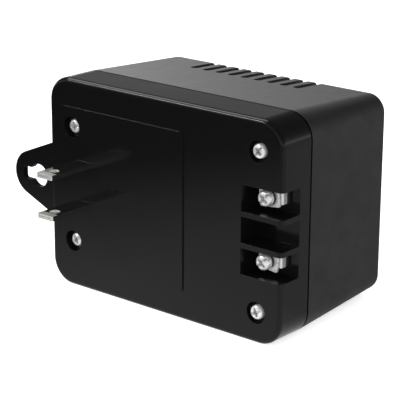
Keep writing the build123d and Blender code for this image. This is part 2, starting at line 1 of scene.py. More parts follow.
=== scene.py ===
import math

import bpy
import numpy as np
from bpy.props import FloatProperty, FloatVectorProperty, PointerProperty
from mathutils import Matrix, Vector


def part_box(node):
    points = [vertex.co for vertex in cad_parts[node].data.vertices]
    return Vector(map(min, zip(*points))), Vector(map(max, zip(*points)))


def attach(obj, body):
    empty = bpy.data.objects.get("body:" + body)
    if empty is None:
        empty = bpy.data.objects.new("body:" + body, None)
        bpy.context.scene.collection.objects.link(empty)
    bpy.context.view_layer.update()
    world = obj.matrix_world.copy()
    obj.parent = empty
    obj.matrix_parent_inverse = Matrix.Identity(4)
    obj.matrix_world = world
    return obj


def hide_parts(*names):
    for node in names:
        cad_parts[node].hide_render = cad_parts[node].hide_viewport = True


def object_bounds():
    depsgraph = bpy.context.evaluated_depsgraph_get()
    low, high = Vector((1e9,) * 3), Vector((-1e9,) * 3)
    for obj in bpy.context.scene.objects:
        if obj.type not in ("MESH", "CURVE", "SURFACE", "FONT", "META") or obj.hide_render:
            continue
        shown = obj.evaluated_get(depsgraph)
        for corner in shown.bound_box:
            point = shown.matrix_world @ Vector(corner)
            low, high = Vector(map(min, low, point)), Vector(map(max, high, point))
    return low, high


bl_info = {
    "name": "Low Voltage Transformer",
    "version": (1, 0, 0),
    "blender": (4, 5, 0),
    "location": "3D View > Sidebar > Transformer",
    "description": "Dresses a plug-in transformer: moulded shells, plated hardware and a wound core",
    "category": "Object",
}

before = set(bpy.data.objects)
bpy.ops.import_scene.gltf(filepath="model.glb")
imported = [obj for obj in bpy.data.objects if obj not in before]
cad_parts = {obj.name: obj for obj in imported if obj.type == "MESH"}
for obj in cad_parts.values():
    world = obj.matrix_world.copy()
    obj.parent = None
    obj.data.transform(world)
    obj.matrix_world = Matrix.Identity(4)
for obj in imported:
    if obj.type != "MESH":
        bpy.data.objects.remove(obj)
cad_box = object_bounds()

MM = 0.001
BODY = "root"

# The two shells
PARTING_Y = 13.6 * MM
# Half width of the painted shade band along the parting line
SEAM_SHADE_HALF_WIDTH = 0.34 * MM
RIPPLE_LENGTH = 14 * MM
HANDLING_SIZE = 9 * MM

# Plated parts
PATCH_SIZE = 1.6 * MM
WORN_MIRROR_SHARE = 0.62
WEAR_FADE = 0.3 * MM
HOLE_WALL = 0.08 * MM
# Colour of the painted shade in the recesses of plated parts
RECESS_SHADE_COLOUR = "#2C2C2D"
# The blades' worn end, its flanks, and the middle and radius of the hole
BLADE_WEAR = (-14.7 * MM, 3.1 * MM, -13.0 * MM, 1.6 * MM)

# Screws
CASE_HEAD_RADIUS = 2.25 * MM
TERMINAL_HEAD_RADIUS = 2.4 * MM
SHANK_RADIUS = 1.45 * MM

# Coil: how thick each winding is built up, and the radius of its corners
PRIMARY_BUILD, PRIMARY_CORNER = 3.84 * MM, 5.15 * MM
SECONDARY_BUILD, SECONDARY_CORNER = 2.78 * MM, 8.33 * MM
TAPE_THICKNESS, TAPE_CORNER = 0.3 * MM, 8.63 * MM

# What diffuse and glossy rays find in place of the white that the camera sees
TENT_STRENGTH = 0.6
WALL_STRENGTH = 0.05
WALL_LOWEST = 0.06
WALL_FALL = -1.2
DOME_LEAST = 0.1
FLOOR_LEAST = 0.05
FLOOR_WHITENING = 0.55

# Camera and lamps, in metres
CAMERA_PLACE = (0.3320226, -0.3406918, 0.1460100)
LAMP_TARGET = (0.03, 0.02, 0.0)


def linear(hex_colour):
    """Turns an sRGB hex value into the linear colour, with alpha, that a socket takes."""
    channels = np.array([int(hex_colour[i:i + 2], 16) for i in (1, 3, 5)]) / 255
    dark = channels / 12.92
    light = ((channels + 0.055) / 1.055) ** 2.4
    return (*(float(c) for c in np.where(channels <= 0.04045, dark, light)), 1.0)


def add_node(tree, kind, inputs=None, **settings):
    """Adds one node: its settings by name, and inputs as plain values or the sockets that feed them."""
    node = tree.nodes.new(kind)
    for name, value in settings.items():
        setattr(node, name, value)
    for name, value in (inputs or {}).items():
        if isinstance(value, bpy.types.NodeSocket):
            tree.links.new(value, node.inputs[name])
        else:
            node.inputs[name].default_value = value
    return node


def start_material(name):
    """Makes an empty material and gives back it, its tree and its Object coordinates."""
    material = bpy.data.materials.new(name)
    material.use_nodes = True
    tree = material.node_tree
    tree.nodes.clear()
    coords = add_node(tree, "ShaderNodeTexCoord")
    return material, tree, coords.outputs["Object"]


def finish_material(tree, shader):
    """Links the finished shader to the material's output."""
    add_node(tree, "ShaderNodeOutputMaterial", {"Surface": shader.outputs[0]})


def blend_colours(tree, factor, first, second):
    """Mixes two colours by a factor and gives back the mixed colour's socket."""
    mix = add_node(tree, "ShaderNodeMix", {0: factor, 6: first, 7: second}, data_type="RGBA")
    return mix.outputs[2]


# Materials

def moulded_abs(name, colour, gloss_range, grain, ripple_height, edge_radius, specular):
    """Injection-moulded black ABS.

    The mould gives the eye a soft sheen, a grain of its own size, long shallow ripples
    that break up reflections, and edges that are never quite sharp. Along the line where
    the shells meet, a narrow band is painted near black without specular, as painted shade.
    """
    material, tree, coords = start_material(name)
    grain_size, grain_height = grain
    grain = add_node(
        tree, "ShaderNodeTexNoise",
        {"Vector": coords, "Scale": 1 / grain_size, "Detail": 3.0, "Roughness": 0.6},
    )
    ripple = add_node(
        tree, "ShaderNodeTexNoise",
        {"Vector": coords, "Scale": 1 / RIPPLE_LENGTH, "Detail": 1.0, "Roughness": 0.4},
    )
    handling = add_node(
        tree, "ShaderNodeTexNoise",
        {"Vector": coords, "Scale": 1 / HANDLING_SIZE, "Detail": 5.0, "Roughness": 0.7},
    )
    gloss = add_node(
        tree, "ShaderNodeMapRange",
        {"Value": handling.outputs["Fac"], "From Min": 0.35, "From Max": 0.68,
         "To Min": gloss_range[0], "To Max": gloss_range[1]},
    )
    edge = add_node(tree, "ShaderNodeBevel", {"Radius": edge_radius}, samples=6)
    rippled = add_node(
        tree, "ShaderNodeBump",
        {"Height": ripple.outputs["Fac"], "Strength": 1.0, "Distance": ripple_height,
         "Normal": edge.outputs[0]},
    )
    grained = add_node(
        tree, "ShaderNodeBump",
        {"Height": grain.outputs["Fac"], "Strength": 1.0, "Distance": grain_height,
         "Normal": rippled.outputs[0]},
    )
    # Painted shade: a narrow band along the parting line loses its specular and is coloured near black
    place = add_node(tree, "ShaderNodeSeparateXYZ", {"Vector": coords})
    painted_seam_shade = add_node(
        tree, "ShaderNodeMath",
        {0: place.outputs["Y"], 1: PARTING_Y, 2: SEAM_SHADE_HALF_WIDTH},
        operation="COMPARE",
    )
    open_face = add_node(tree, "ShaderNodeMath", {0: 1.0, 1: painted_seam_shade.outputs[0]}, operation="SUBTRACT")
    level = add_node(tree, "ShaderNodeMath", {0: specular, 1: open_face.outputs[0]}, operation="MULTIPLY")
    tint = blend_colours(tree, handling.outputs["Fac"], colour, [0.8 * c for c in colour[:3]] + [1.0])
    # Painted shade: near black within the band along the parting line
    deep = blend_colours(tree, painted_seam_shade.outputs[0], tint, linear("#030303"))
    shader = add_node(
        tree, "ShaderNodeBsdfPrincipled",
        {"Base Color": deep, "Roughness": gloss.outputs[0], "IOR": 1.54,
         "Specular IOR Level": level.outputs[0], "Normal": grained.outputs[0]},
    )
    finish_material(tree, shader)
    return material


def plated_metal(name, colour, gloss_range, scratches_size, edge_radius, mirror, recess_shade_reach=0.0, scuff=None):
    """Bright plate over stamped or headed metal.

    It gives the eye clear highlights that break where the press tools and handling have
    left fine scratches, and slightly duller, darker patches in between. The mirror share is
    below 1 where the plate's own fine grain scatters light, as on barrelled zinc. Painted
    shade darkens what lies deeper than its reach, such as a screw's recess. Scuff is (tip_y,
    flank_x, hole_y, hole_radius): use has worn a blade's end beyond tip_y, between its
    flanks, and the sheared wall of its hole, so they scatter more light.
    """
    material, tree, coords = start_material(name)
    scratch_length, scratch_depth = scratches_size
    stretch = add_node(
        tree, "ShaderNodeMapping",
        {"Vector": coords, "Scale": (1.0, 0.12, 1.0)},
    )
    scratches = add_node(
        tree, "ShaderNodeTexNoise",
        {"Vector": stretch.outputs[0], "Scale": 1 / scratch_length, "Detail": 6.0, "Roughness": 0.75},
    )
    patches = add_node(
        tree, "ShaderNodeTexNoise",
        {"Vector": coords, "Scale": 1 / PATCH_SIZE, "Detail": 3.0, "Roughness": 0.6},
    )
    gloss = add_node(
        tree, "ShaderNodeMapRange",
        {"Value": patches.outputs["Fac"], "From Min": 0.3, "From Max": 0.7,
         "To Min": gloss_range[0], "To Max": gloss_range[1]},
    )
    tint = blend_colours(tree, patches.outputs["Fac"], colour, [0.82 * c for c in colour[:3]] + [1.0])
    if scuff:
        tip_y, flank_x, hole_y, hole_radius = scuff
        place = add_node(tree, "ShaderNodeSeparateXYZ", {"Vector": coords})
        tip = add_node(
            tree, "ShaderNodeMapRange",
            {"Value": place.outputs["Y"], "From Min": tip_y - WEAR_FADE, "From Max": tip_y,
             "To Min": 1.0, "To Max": 0.0},
        )
        flat = add_node(
            tree, "ShaderNodeVectorMath", {0: coords, 1: (1.0, 1.0, 0.0), 2: (0.0, -hole_y, 0.0)},
            operation="MULTIPLY_ADD")
        from_hole = add_node(tree, "ShaderNodeVectorMath", {0: flat.outputs[0]}, operation="LENGTH")
        wall = add_node(
            tree, "ShaderNodeMath", {0: from_hole.outputs["Value"], 1: hole_radius + HOLE_WALL},
            operation="LESS_THAN")
        off_centre = add_node(tree, "ShaderNodeMath", {0: place.outputs["X"]}, operation="ABSOLUTE")
        between_flanks = add_node(
            tree, "ShaderNodeMath", {0: off_centre.outputs[0], 1: flank_x}, operation="LESS_THAN")
        end = add_node(
            tree, "ShaderNodeMath", {0: tip.outputs[0], 1: between_flanks.outputs[0]},
            operation="MULTIPLY")
        worn = add_node(tree, "ShaderNodeMath", {0: end.outputs[0], 1: wall.outputs[0]}, operation="MAXIMUM")
        share = add_node(
            tree, "ShaderNodeMapRange",
            {"Value": worn.outputs[0], "To Min": mirror, "To Max": WORN_MIRROR_SHARE})
        mirror = share.outputs[0]
    # Painted shade: ambient occlusion darkens the plate's tint in recesses and where parts lie close
    if recess_shade_reach:
        hollow = add_node(tree, "ShaderNodeAmbientOcclusion", {"Distance": recess_shade_reach}, samples=8)
        unshaded = add_node(
            tree, "ShaderNodeMapRange",
            {"Value": hollow.outputs["AO"], "From Min": 0.55, "From Max": 0.92},
        )
        tint = blend_colours(tree, unshaded.outputs[0], linear(RECESS_SHADE_COLOUR), tint)
    edge = add_node(tree, "ShaderNodeBevel", {"Radius": edge_radius}, samples=6)
    bump = add_node(
        tree, "ShaderNodeBump",
        {"Height": scratches.outputs["Fac"], "Strength": 1.0, "Distance": scratch_depth,
         "Normal": edge.outputs[0]},
    )
    shader = add_node(
        tree, "ShaderNodeBsdfPrincipled",
        {"Base Color": tint, "Metallic": mirror, "Roughness": gloss.outputs[0], "Normal": bump.outputs[0]},
    )
    finish_material(tree, shader)
    return material


def varnished_laminations(name, colour, sheet_thickness):
    """Silicon steel sheets stacked along Y and dipped in varnish.

    It gives the eye fine parallel lines at the sheets' pitch, blue-grey scale on the
    faces, and thin rust-brown varnish that pools between the cut edges. A band wave of
    scale s repeats every tau / (20 s).
    """
    material, tree, coords = start_material(name)
    sheets = add_node(
        tree, "ShaderNodeTexWave",
        {"Vector": coords, "Scale": math.tau / (20 * sheet_thickness), "Distortion": 0.4},
        wave_type="BANDS", bands_direction="Y", wave_profile="SIN",
    )
    blotches = add_node(
        tree, "ShaderNodeTexNoise",
        {"Vector": coords, "Scale": 1 / (6 * MM), "Detail": 6.0, "Roughness": 0.65},
    )
    steel = blend_colours(tree, blotches.outputs["Fac"], colour, linear("#33302E"))
    varnish = blend_colours(tree, sheets.outputs["Fac"], linear("#2A1A10"), steel)
    bump = add_node(
        tree, "ShaderNodeBump",
        {"Height": sheets.outputs["Fac"], "Strength": 0.7, "Distance": 0.05 * MM},
    )
    shader = add_node(
        tree, "ShaderNodeBsdfPrincipled",
        {"Base Color": varnish, "Metallic": 0.6, "Roughness": 0.42, "Coat Weight": 0.35,
         "Normal": bump.outputs[0]},
    )
    finish_material(tree, shader)
    return material


def mottled_plain(name, colour, second_colour, mottle_size, roughness, bump_height):
    """Plain moulded, pressed or extruded insulation.

    Its colour wanders a little between two tones, and a shallow uneven surface softens
    the highlight, as on nylon, pressboard, phenolic board and PVC sleeving.
    """
    material, tree, coords = start_material(name)
    mottle = add_node(
        tree, "ShaderNodeTexNoise",
        {"Vector": coords, "Scale": 1 / mottle_size, "Detail": 6.0, "Roughness": 0.62},
    )
    tint = blend_colours(tree, mottle.outputs["Fac"], colour, second_colour)
    edge = add_node(tree, "ShaderNodeBevel", {"Radius": 0.12 * MM}, samples=4)
    bump = add_node(
        tree, "ShaderNodeBump",
        {"Height": mottle.outputs["Fac"], "Strength": 0.8, "Distance": bump_height,
         "Normal": edge.outputs[0]},
    )
    shader = add_node(
        tree, "ShaderNodeBsdfPrincipled",
        {"Base Color": tint, "Roughness": roughness, "IOR": 1.52, "Normal": bump.outputs[0]},
    )
    finish_material(tree, shader)
    return material


def enamelled_wire(name, colour, shade):
    """Copper magnet wire under amber enamel.

    The enamel gives the eye a clear coat over a warm metal, with darker lines where the
    turns lie against each other.
    """
    material, tree, coords = start_material(name)
    drift = add_node(
        tree, "ShaderNodeTexNoise",
        {"Vector": coords, "Scale": 1 / (3 * MM), "Detail": 4.0, "Roughness": 0.6},
    )
    tint = blend_colours(tree, drift.outputs["Fac"], colour, shade)
    shader = add_node(
        tree, "ShaderNodeBsdfPrincipled",
        {"Base Color": tint, "Metallic": 0.85, "Roughness": 0.34, "Coat Weight": 0.6,
         "Coat Roughness": 0.12, "Coat IOR": 1.6},
    )
    finish_material(tree, shader)
    return material


def polyester_wrap(name, colour):
    """Glossy yellow polyester tape wound tight round the coil.

    It gives the eye a clear amber film with soft wrinkles along the winding direction
    that bend the highlight.
    """
    material, tree, coords = start_material(name)
    stretch = add_node(
        tree, "ShaderNodeMapping",
        {"Vector": coords, "Scale": (0.25, 0.25, 1.6)},
    )
    wrinkles = add_node(
        tree, "ShaderNodeTexNoise",
        {"Vector": stretch.outputs[0], "Scale": 1 / (2.2 * MM), "Detail": 4.0, "Roughness": 0.6},
    )
    tint = blend_colours(tree, wrinkles.outputs["Fac"], colour, linear("#B58A1E"))
    bump = add_node(
        tree, "ShaderNodeBump",
        {"Height": wrinkles.outputs["Fac"], "Strength": 0.7, "Distance": 0.12 * MM},
    )
    shader = add_node(
        tree, "ShaderNodeBsdfPrincipled",
        {"Base Color": tint, "Roughness": 0.2, "IOR": 1.57, "Subsurface Weight": 0.1,
         "Subsurface Radius": (0.0006, 0.0004, 0.0001), "Coat Weight": 0.4, "Coat Roughness": 0.1,
         "Normal": bump.outputs[0]},
    )
    finish_material(tree, shader)
    return material


# Meshes

def grid_faces(rows, columns, wrap_rows=False, wrap_columns=True):
    """Quads of a grid of vertices laid out row by row; either direction may close on itself."""
    row = np.arange(rows if wrap_rows else rows - 1)[:, None]
    column = np.arange(columns if wrap_columns else columns - 1)[None, :]
    next_row = (row + 1) % rows
    next_column = (column + 1) % columns
    corners = (
        row * columns + column,
        row * columns + next_column,
        next_row * columns + next_column,
        next_row * columns + column,
    )
    return np.stack(np.broadcast_arrays(*corners), axis=-1).reshape(-1, 4)


def make_piece(name, points, quads, poles=()):
    """Puts computed points and quads into a new smooth mesh object.

    A pole is (ring, tip): the indices of a ring of vertices and of the one vertex that
    closes it with a fan of triangles.
    """
    fans = [
        np.stack((ring, np.roll(ring, -1), np.full_like(ring, tip)), axis=-1)
        for ring, tip in poles
    ]
    mesh = bpy.data.meshes.new(name)
    faces = quads.tolist() + [triangle for fan in fans for triangle in fan.tolist()]
    mesh.from_pydata(points.tolist(), [], faces)
    mesh.polygons.foreach_set("use_smooth", np.ones(len(faces), dtype=bool))
    mesh.validate()
    mesh.update()
    piece = bpy.data.objects.new(name, mesh)
    bpy.context.collection.objects.link(piece)
    return piece


def dress(piece, material):
    """Gives a new piece its material and its body."""
    piece.data.materials.append(material)
    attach(piece, BODY)


def dress_node(node, material):
    """Gives a CAD node its finish; its mesh stays as it came in model.glb."""
    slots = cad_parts[node].material_slots
    for slot in slots:
        slot.material = material
    if not slots:
        raise RuntimeError(f"{node} came without a material slot")


def rounded_rectangle(half_width, half_depth, radius, count):
    """Closed outline of a rounded rectangle, as equal steps along its perimeter.

    Each corner is a quarter circle of the radius, and the sides join them straight. The
    steps start in the middle of the side at +X and run towards +Y. Gives the points and
    their outward normals.
    """
    corner_angles = np.linspace(0, math.pi / 2, 16)
    angles = np.concatenate([corner_angles + quarter * math.pi / 2 for quarter in range(4)])
    signs = np.repeat([(1, 1), (-1, 1), (-1, -1), (1, -1)], 16, axis=0)
    centres = signs * (half_width - radius, half_depth - radius)
    normals = np.stack((np.cos(angles), np.sin(angles)), axis=-1)
    outline = centres + radius * normals
    start = np.array([[half_width, 0.0]])
    outline = np.concatenate((start, outline, start))
    normals = np.concatenate(([[1.0, 0.0]], normals, [[1.0, 0.0]]))
    steps = np.linalg.norm(np.diff(outline, axis=0), axis=1)
    travelled = np.concatenate(([0.0], np.cumsum(steps)))
    wanted = np.linspace(0, travelled[-1], count, endpoint=False)
    points = np.stack([np.interp(wanted, travelled, outline[:, i]) for i in (0, 1)], axis=-1)
    facing = np.stack([np.interp(wanted, travelled, normals[:, i]) for i in (0, 1)], axis=-1)
    facing /= np.linalg.norm(facing, axis=1, keepdims=True)
    return points, facing


def smooth_step(values, low, high):
    """Rises from 0 at low to 1 at high along 3t^2 - 2t^3."""
    t = np.clip((values - low) / (high - low), 0, 1)
    return t * t * (3 - 2 * t)


def headed_screw(name, node, head, recess, thread, lift=0.0):
    """Pan-head screw along +Y with a cross and a slot pressed into its head.

    The head is a superellipse of order four, (r/R)^4 + (h/H)^4 = 1, so it is flat on top
    and round at its shoulder. The recess is a floor that the head is cut down to: the cross
    gets shallower towards the ends of its wings, and the slot is level. The shank's radius
    is lowered by a sawtooth of the angle and the depth, which gives a helical thread, and
    it runs out to a blunt point. The lift is how far the head stands proud of its seat.
    """
    low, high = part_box(node)
    low = low - Vector((0.0, lift, 0.0))
    centre_x = (low.x + high.x) / 2
    centre_z = (low.z + high.z) / 2
    radius, height = head["radius"], head["height"]
    around = 96
    angle = np.linspace(0, math.tau, around, endpoint=False)[None, :]

    rise = np.linspace(0.02, 1, 56)[:, None] ** 2 * math.pi / 2
    head_radius = radius * np.sin(rise) ** 0.5 + 0 * angle
    head_height = height * np.cos(rise).clip(0) ** 0.5 + 0 * angle
    across = head_radius * np.cos(angle - recess["turn"])
    along = head_radius * np.sin(angle - recess["turn"])
    wing = recess["wing"] / 2
    soft = recess["soft"]
    deep = np.zeros_like(across)
    for a, b in ((across, along), (along, across)):
        width = wing * (1 - 0.35 * np.abs(a) / recess["span"])
        inside = 1 - smooth_step(np.abs(b), width - soft, width + soft)
        taper = np.clip((recess["span"] - np.abs(a)) / (0.55 * recess["span"]), 0, 1)
        deep = np.maximum(deep, recess["depth"] * inside * taper)
    slot_inside = 1 - smooth_step(np.abs(along), recess["slot"] / 2 - soft, recess["slot"] / 2 + soft)
    slot_inside *= 1 - smooth_step(np.abs(across), recess["slot_reach"], recess["slot_reach"] + 2 * soft)
    deep = np.maximum(deep, recess["slot_depth"] * slot_inside)
    head_height = np.minimum(head_height, height - deep)

    length = high.y - low.y - height
    rings = int(length / thread["pitch"] * 8)
    depth_along = np.linspace(0.0, length, rings)[:, None]
    turns = depth_along / thread["pitch"] - angle / math.tau
    tooth = np.abs((turns % 1) - 0.5) * 2
    run_in = smooth_step(depth_along, 0.3 * thread["pitch"], 1.2 * thread["pitch"])
    point = 1 - 0.62 * smooth_step(depth_along, length - thread["point"], length)
    shank_radius = (thread["radius"] - thread["depth"] * tooth ** 1.5 * run_in) * point

    rings_y = np.concatenate((low.y + height - head_height, low.y + height + depth_along + 0 * angle))
    rings_r = np.concatenate((head_radius, shank_radius))
    ring_points = np.stack(
        (centre_x + rings_r * np.cos(angle), rings_y, centre_z + rings_r * np.sin(angle)), axis=-1
    )
    count = ring_points.shape[0]
    top_y = low.y + float(max(recess["depth"], recess["slot_depth"]))
    tips = np.array([(centre_x, top_y, centre_z), (centre_x, high.y, centre_z)])
    points = np.concatenate((ring_points.reshape(-1, 3), tips))
    first = np.arange(around)
    last = (count - 1) * around + np.arange(around)
    poles = ((first[::-1], count * around), (last, count * around + 1))
    return make_piece(name, points, grid_faces(count, around)[:, ::-1], poles)


def square_washer(name, node, settings, turn, drop):
    """Square clamp washer, lightly dished, with a round hole.

    Every ring between the hole and the outline is a straight blend of the two, so the
    surface is hole * (1 - s) + outline * s, closed over a rounded section at both rims.
    The dish lifts the corners by the square of the distance from the middle. The washer
    is loose on its screw, so it has turned and dropped a little.
    """
    low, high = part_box(node)
    centre = np.array(((low.x + high.x) / 2, (low.z + high.z) / 2 - drop))
    thickness = high.y - low.y
    around = 128
    half_width = settings.washer_width / 2
    half_height = settings.washer_height / 2
    outline, _ = rounded_rectangle(half_width, half_height, settings.washer_corner, around)
    spin = np.array(((math.cos(turn), math.sin(turn)), (-math.sin(turn), math.cos(turn))))
    outline = outline @ spin
    heading = np.arctan2(outline[:, 1], outline[:, 0])
    hole = settings.washer_hole / 2 * np.stack((np.cos(heading), np.sin(heading)), axis=-1)

    rim = 0.18
    section = np.array([
        (0.0, rim), (0.0, 1 - rim), (0.02, 1 - 0.3 * rim), (0.06, 1.0), (0.3, 1.0), (0.55, 1.0), (0.8, 1.0),
        (0.94, 1.0), (0.985, 1 - 0.3 * rim), (1.0, 1 - rim), (1.0, rim), (0.985, 0.3 * rim), (0.94, 0.0),
        (0.8, 0.0), (0.55, 0.0), (0.3, 0.0), (0.06, 0.0), (0.02, 0.3 * rim),
    ])
    share = section[:, :1, None]
    flat = hole[None] * (1 - share) + outline[None] * share
    lift = 0.06 * thickness * (flat ** 2).sum(axis=-1) / half_width ** 2
    depth = low.y + thickness * (1 - section[:, 1:]) - lift
    depth = np.clip(depth, low.y, high.y)
    points = np.stack((centre[0] + flat[..., 0], depth, centre[1] + flat[..., 1]), axis=-1)
    return make_piece(name, points.reshape(-1, 3), grid_faces(len(section), around, wrap_rows=True))


def wound_ring(name, node, wire, build, corner, around, steps_per_turn):
    """Winding round the bobbin, as one surface whose outside bulges at every turn.

    A rounded rectangle carries the section along. Its outside stands at the radius of the
    wire, r * |cos(pi * (z / pitch - s))|, where s runs from 0 to 1 once round the bobbin,
    so that the bulges form one continuous helix.
    """
    low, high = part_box(node)
    centre = (low + high) / 2
    half_width = (high.x - low.x) / 2
    half_depth = (high.y - low.y) / 2
    outline, facing = rounded_rectangle(half_width, half_depth, corner, around)
    turns = (high.z - low.z) / wire
    steps = int(turns * steps_per_turn)
    height = np.linspace(low.z, high.z, steps)
    lap = np.arange(around) / around
    phase = height[:, None] / wire - lap[None, :]
    bulge = wire / 2 * (np.abs(np.cos(math.pi * phase)) ** 0.6 - 1)
    outside = outline[None] + facing[None] * bulge[..., None]
    inside = np.repeat((outline - facing * build)[None], 2, axis=0)
    flat = np.concatenate((outside, inside))
    level = np.concatenate((height, (high.z, low.z)))[:, None] + 0 * flat[..., 0]
    points = np.stack((centre.x + flat[..., 0], centre.y + flat[..., 1], level), axis=-1)
    quads = grid_faces(len(level), around, wrap_rows=True)
    return make_piece(name, points.reshape(-1, 3), quads)


def tape_wrap(name, node, thickness, corner, around=240):
    """Tape round the coil: a band whose outside waves gently and steps up where it overlaps."""
    low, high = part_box(node)
    centre = (low + high) / 2
    half_width = (high.x - low.x) / 2
    half_depth = (high.y - low.y) / 2
    outline, facing = rounded_rectangle(half_width, half_depth, corner, around)
    height = np.linspace(low.z, high.z, 40)
    lap = np.arange(around)[None, :] / around
    level = height[:, None] / (high.z - low.z)
    wave = 0.5 + 0.5 * np.sin(math.tau * (5 * lap + 2.3 * level)) * np.cos(math.tau * (3 * lap - 1.7 * level))
    overlap = smooth_step(lap, 0.30, 0.304) * (1 - smooth_step(lap, 0.40, 0.404))
    sunk = thickness * (0.18 * wave + 0.3 * (1 - overlap))
    outside = outline[None] - facing[None] * sunk[..., None]
    inside = np.repeat((outline - facing * thickness)[None], 2, axis=0)
    flat = np.concatenate((outside, inside))
    levels = np.concatenate((height, (high.z, low.z)))[:, None] + 0 * flat[..., 0]
    points = np.stack((centre.x + flat[..., 0], centre.y + flat[..., 1], levels), axis=-1)
    return make_piece(name, points.reshape(-1, 3), grid_faces(len(levels), around, wrap_rows=True))


# Settings

class ShellSettings(bpy.types.PropertyGroup):
    front_colour: FloatVectorProperty(
        name="Front shell", description="Base colour of the satin front shell",
        subtype="COLOR", size=4, default=linear("#0A0A0B"))
    rear_colour: FloatVectorProperty(
        name="Rear shell", description="Base colour of the textured rear shell",
        subtype="COLOR", size=4, default=linear("#0F0F10"))
    spark_size: FloatProperty(
        name="Spark texture", description="Size of one pit of the rear shell's texture",
        unit="LENGTH", default=0.32 * MM)
    spark_height: FloatProperty(
        name="Spark depth", description="Depth of the rear shell's texture",
        unit="LENGTH", default=0.03 * MM)
    edge_radius: FloatProperty(
        name="Edge radius", description="Rounding that the light finds on moulded edges",
        unit="LENGTH", default=0.12 * MM)


class ScrewSettings(bpy.types.PropertyGroup):
    head_height: FloatProperty(
        name="Head height", description="Height of a case screw's head",
        unit="LENGTH", default=2.0 * MM)
    terminal_head_height: FloatProperty(
        name="Terminal head height", description="Height of a terminal screw's head",
        unit="LENGTH", default=2.2 * MM)
    case_lift: FloatProperty(
        name="Case screw lift", description="How much further out the right-hand case screws stand",
        unit="LENGTH", default=0.8 * MM)
    upper_lift: FloatProperty(
        name="Upper lift", description="How far the upper terminal screw stands proud of its washer",
        unit="LENGTH", default=0.7 * MM)
    lower_lift: FloatProperty(
        name="Lower lift", description="How far the lower terminal screw stands proud of its washer",
        unit="LENGTH", default=1.1 * MM)
    wing: FloatProperty(
        name="Cross width", description="Width of the cross at the middle of the head",
        unit="LENGTH", default=0.95 * MM)
    pitch: FloatProperty(
        name="Thread pitch", description="Distance from one thread to the next",
        unit="LENGTH", default=1.1 * MM)
    plate_colour: FloatVectorProperty(
        name="Zinc", description="Colour of the zinc and tin plate",
        subtype="COLOR", size=4, default=linear("#E9EAE9"))
    mirror_share: FloatProperty(
        name="Mirror share", description="Share of light that the zinc mirrors; it scatters the rest",
        default=0.7, min=0.0, max=1.0)


class TerminalSettings(bpy.types.PropertyGroup):
    washer_width: FloatProperty(
        name="Washer width", description="Width of a clamp washer",
        unit="LENGTH", default=6.95 * MM)
    washer_height: FloatProperty(
        name="Washer height", description="Height of a clamp washer",
        unit="LENGTH", default=5.05 * MM)
    washer_corner: FloatProperty(
        name="Washer corner", description="Radius of a clamp washer's corners",
        unit="LENGTH", default=0.45 * MM)
    washer_hole: FloatProperty(
        name="Washer hole", description="Diameter of a clamp washer's hole",
        unit="LENGTH", default=3.05 * MM)
    washer_turn: FloatProperty(
        name="Washer turn", description="How far the clamp washers have turned, one each way",
        subtype="ANGLE", default=math.radians(6))
    washer_drop: FloatProperty(
        name="Washer drop", description="How far the clamp washers hang below their screws' axes",
        unit="LENGTH", default=0.3 * MM)
    nickel_colour: FloatVectorProperty(
        name="Nickel", description="Colour of the nickel plate on the blades",
        subtype="COLOR", size=4, default=linear("#D2D0CB"))


class CoilSettings(bpy.types.PropertyGroup):
    secondary_wire: FloatProperty(
        name="Secondary wire", description="Diameter of the secondary's wire",
        unit="LENGTH", default=0.9 * MM)
    primary_wire: FloatProperty(
        name="Primary wire", description="Diameter of the primary's wire, drawn coarse to show",
        unit="LENGTH", default=0.5 * MM)
    sheet_thickness: FloatProperty(
        name="Lamination", description="Thickness of one core sheet",
        unit="LENGTH", default=0.5 * MM)
    copper_colour: FloatVectorProperty(
        name="Enamel", description="Colour of the enamelled wire",
        subtype="COLOR", size=4, default=linear("#B5651F"))
    tape_colour: FloatVectorProperty(
        name="Tape", description="Colour of the polyester tape",
        subtype="COLOR", size=4, default=linear("#E3B93A"))


class StageSettings(bpy.types.PropertyGroup):
    view_azimuth: FloatProperty(
        name="Azimuth", description="Camera direction, measured from the front towards +X",
        subtype="ANGLE", default=math.radians(40.002))
    view_elevation: FloatProperty(
        name="Elevation", description="How far the camera looks down",
        subtype="ANGLE", default=math.radians(17.643))
    view_roll: FloatProperty(
        name="Roll", description="Turn of the camera about its own axis",
        subtype="ANGLE", default=math.radians(0.291))
    focal_length: FloatProperty(
        name="Focal length", description="Focal length in millimetres on a 36 mm sensor",
        default=146.08)
    floor_radius: FloatProperty(
        name="Floor", description="Radius of the pale floor",
        unit="LENGTH", default=4.0)
    floor_colour: FloatVectorProperty(
        name="Floor colour", description="Colour of the floor",
        subtype="COLOR", size=4, default=linear("#E8E8E8"))
    key_radiance: FloatProperty(
        name="Key lamp", description="Brightness of the soft box above the object",
        default=5.0, min=0.0)
    rear_radiance: FloatProperty(
        name="Rear lamp", description="Brightness of the box behind, which lights the rear shell alone",
        default=36.0, min=0.0)
    strip_radiance: FloatProperty(
        name="Front strip", description="Brightness of the strip that lines the front shell's upper edge",
        default=34.0, min=0.0)
    fill_radiance: FloatProperty(
        name="Fill lamp", description="Brightness of the box at the camera that reaches into the bays",
        default=12.0, min=0.0)


# Operators

class TRANSFORMER_OT_shells(bpy.types.Operator):
    """Finishes the satin front shell and the textured rear shell"""
    bl_idname = "transformer.shells"
    bl_label = "Shells"

    def execute(self, context):
        settings = context.scene.transformer_shells
        satin = moulded_abs(
            "satin_moulded_abs", settings.front_colour, (0.12, 0.18), (0.5 * MM, 0.0012 * MM),
            0.035 * MM, settings.edge_radius, 0.19)
        textured = moulded_abs(
            "spark_textured_abs", settings.rear_colour, (0.52, 0.62),
            (settings.spark_size, settings.spark_height), 0.02 * MM, settings.edge_radius, 0.42)
        dress_node("front_shell", satin)
        dress_node("rear_shell", textured)
        return {"FINISHED"}


